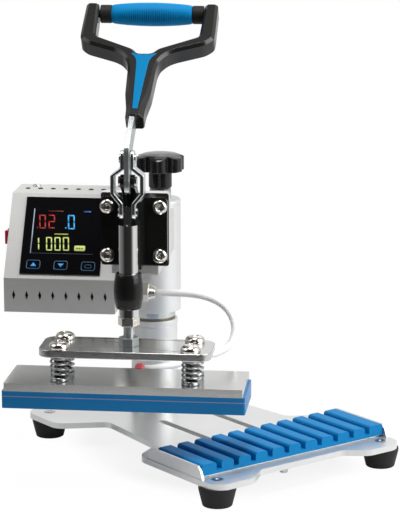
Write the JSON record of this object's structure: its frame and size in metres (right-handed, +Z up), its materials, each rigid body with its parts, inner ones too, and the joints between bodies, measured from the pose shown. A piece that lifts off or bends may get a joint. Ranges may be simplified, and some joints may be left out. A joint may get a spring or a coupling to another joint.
{
  "type": "pen heat press",
  "caption": "Swing-head pen heat press: toggle clamp with D-grip lever, spring-floated heated platen, grooved pen mould on a sliding tray, and a slope-front control box.",
  "frame": {"origin": "on the post axis at floor level", "axes": "+X right of the base, -Y front edge of the base, +Z up"},
  "size_m": [0.2815, 0.2857, 0.3494],
  "materials": {
    "plate_steel": "polished plate",
    "satin_steel": "satin",
    "silver_paint": "silver powder coat",
    "black_cast": "gloss black",
    "chrome": "polished",
    "zinc": "bright zinc",
    "brass": "satin",
    "aluminium": "anodised",
    "blue_silicone": "satin",
    "black_rubber": "matt",
    "black_plastic": "semi gloss",
    "display_glass": "gloss",
    "blue_plastic": "satin",
    "red_plastic": "gloss",
    "white_cable": "satin",
    "board_green": "matt"
  },
  "bodies": {
    "base": {"base_plate": "plate_steel", "rubber_feet": "black_rubber", "foot_screws": "zinc", "post": "satin_steel", "post_bush": "satin_steel", "post_bolt": "zinc"},
    "tray": {"mould_tray": "plate_steel", "pen_mould": "blue_silicone", "guide_studs": "zinc", "guide_nuts": "zinc", "lock_stud": "zinc", "lock_nut": "zinc"},
    "swivel": {"spindle": "zinc", "thrust_washer": "brass"},
    "head": {"sleeve": "satin_steel", "sleeve_cap": "satin_steel", "head_arm": "silver_paint", "arm_gusset": "silver_paint", "mounting_plate": "zinc", "clamp_body": "black_cast", "clamp_bolts": "chrome", "pivot_pin": "zinc", "box_shell": "silver_paint", "box_back": "silver_paint", "box_screws": "zinc", "box_spacers": "zinc", "display_panel": "display_glass", "circuit_board": "board_green", "control_relay": "black_plastic", "switch_frame": "black_plastic", "power_inlet": "black_plastic", "cable_gland": "chrome", "heater_cable": "white_cable"},
    "knob": {"height_knob": "black_plastic", "knob_nut": "zinc"},
    "rocker": {"switch_rocker": "red_plastic"},
    "handle": {"handle_bar": "zinc", "handle_frame": "black_plastic", "handle_insert": "blue_plastic", "grip_rod": "zinc", "grip_collars": "black_plastic", "grip_sleeve": "blue_plastic"},
    "links": {"link_left": "zinc", "link_right": "zinc", "link_pins": "zinc"},
    "press": {"plunger": "chrome", "jam_nut": "zinc", "plate_stud": "zinc", "plate_nut": "zinc", "top_plate": "aluminium", "pressure_springs": "zinc"},
    "platen": {"platen_bolts": "chrome", "heat_platen": "aluminium", "cushion_sheet": "blue_silicone", "heater_block": "blue_silicone", "heating_element": "brass", "thermal_sensor": "zinc", "cable_boot": "red_plastic"}
  },
  "joints": [
    {"name": "head_swing", "type": "hinge", "parent": "base", "child": "swivel", "pos_m": [0, 0, 0.095], "axis": [0, 0, 1], "range_deg": [-45, 43.57]},
    {"name": "head_lift", "type": "slide", "parent": "swivel", "child": "head", "axis": [0, 0, 1], "range_m": [0, 0.006]},
    {"name": "knob_turn", "type": "hinge", "parent": "head", "child": "knob", "pos_m": [0.00384, -0.00365, 0.205], "axis": [0, 0, 1], "range_deg": [0, 1080]},
    {"name": "tray_slide", "type": "slide", "parent": "base", "child": "tray", "axis": [0, 1, 0], "range_m": [0, 0.03]},
    {"name": "switch_rock", "type": "hinge", "parent": "head", "child": "rocker", "pos_m": [-0.09893, 0.0527, 0.1639], "axis": [0, 0, 1], "range_deg": [0, 12]},
    {"name": "clamp_handle", "type": "hinge", "parent": "head", "child": "handle", "pos_m": [-0.10476, -0.11013, 0.2314], "axis": [0.7245, -0.6892, 0], "range_deg": [0, 180]},
    {"name": "link_swing", "type": "hinge", "parent": "handle", "child": "links", "pos_m": [-0.10476, -0.11013, 0.2484], "axis": [0.7245, -0.6892, 0], "range_deg": [-180, 0]},
    {"name": "plunger_slide", "type": "slide", "parent": "head", "child": "press", "axis": [0, 0, -1], "range_m": [0, 0.034]},
    {"name": "platen_float", "type": "slide", "parent": "press", "child": "platen", "axis": [0, 0, 1], "range_m": [0, 0.006], "stiffness_N_per_m": 8000, "springref_m": -0.004, "deforming": ["pressure_springs"]}
  ],
  "couplings": [
    {"joint": "knob_turn", "follows": "head_lift", "rad_per_m": 3141.6},
    {"joint": "link_swing", "follows": "clamp_handle", "ratio": -1},
    {"joint": "plunger_slide", "follows": "clamp_handle", "m_per_rad": 0.010823}
  ]
}
